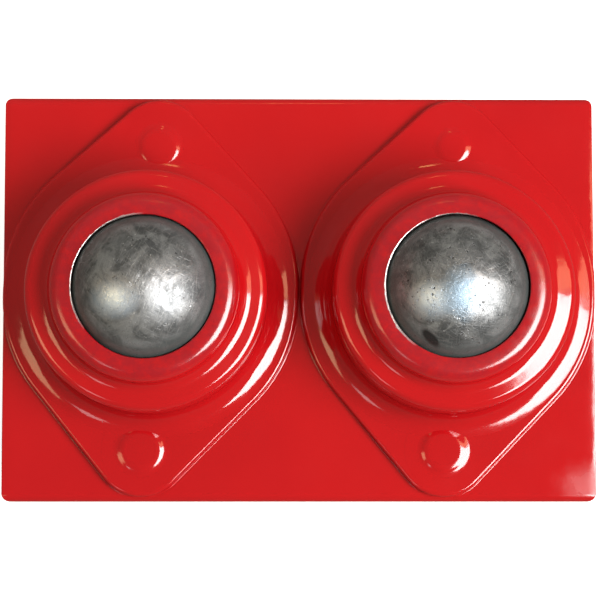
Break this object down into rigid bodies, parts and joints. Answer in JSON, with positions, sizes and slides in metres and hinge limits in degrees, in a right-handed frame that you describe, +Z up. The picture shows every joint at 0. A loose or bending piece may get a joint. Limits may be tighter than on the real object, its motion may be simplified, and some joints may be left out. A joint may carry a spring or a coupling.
{
  "type": "pipe stand",
  "caption": "Low pipe stand: a red plate head with flanged ball transfer units on a sliding post, with a lock knob and a flat base that bolts down.",
  "frame": {"origin": "underside of the base, on the axis of the post, in the middle of the footprint", "axes": "+Z up along the post; +X along the row of balls, with the lock knob on the +X side; +Y along the pipe, the picture's up direction"},
  "size_m": [0.124, 0.0716, 0.1382],
  "materials": {
    "red_paint": "gloss",
    "zinc_plate": "satin",
    "black_plastic": "matte",
    "brass": "turned",
    "ball_steel": "worn",
    "race_steel": "ground",
    "wiper_felt": "matte"
  },
  "bodies": {
    "base": {"base_plate": "red_paint", "outer_post": "red_paint", "post_ribs": "red_paint", "guide_bush": "black_plastic", "lock_boss": "red_paint"},
    "head": {"head_plate": "red_paint", "head_ribs": "red_paint", "inner_post": "zinc_plate", "post_glide": "black_plastic", "flange_rivets": "red_paint", "left_housing": "red_paint", "right_housing": "red_paint", "left_race_cup": "race_steel", "right_race_cup": "race_steel", "left_wiper_ring": "wiper_felt", "right_wiper_ring": "wiper_felt"},
    "lock": {"lock_screw": "zinc_plate", "lock_pad": "brass", "knob_insert": "brass", "lock_knob": "black_plastic"},
    "left_bearing": {"left_support_balls": "race_steel"},
    "right_bearing": {"right_support_balls": "race_steel"},
    "left_ball": {"left_load_ball": "ball_steel"},
    "right_ball": {"right_load_ball": "ball_steel"}
  },
  "joints": [
    {"name": "head_height", "type": "slide", "parent": "base", "child": "head", "axis": [0, 0, 1], "range_m": [0, 0.03]},
    {"name": "lock_turn", "type": "hinge", "parent": "base", "child": "lock", "pos_m": [0.04, 0, 0.05], "axis": [1, 0, 0], "range_deg": [0, 540]},
    {"name": "left_bearing_turn", "type": "hinge", "parent": "head", "child": "left_bearing", "pos_m": [-0.0262, 0, 0.1255], "axis": [0, 0, 1], "continuous": true},
    {"name": "left_ball_roll", "type": "hinge", "parent": "left_bearing", "child": "left_ball", "pos_m": [-0.0262, 0, 0.1255], "axis": [1, 0, 0], "continuous": true},
    {"name": "right_bearing_turn", "type": "hinge", "parent": "head", "child": "right_bearing", "pos_m": [0.0262, 0, 0.1255], "axis": [0, 0, 1], "continuous": true},
    {"name": "right_ball_roll", "type": "hinge", "parent": "right_bearing", "child": "right_ball", "pos_m": [0.0262, 0, 0.1255], "axis": [1, 0, 0], "continuous": true}
  ]
}
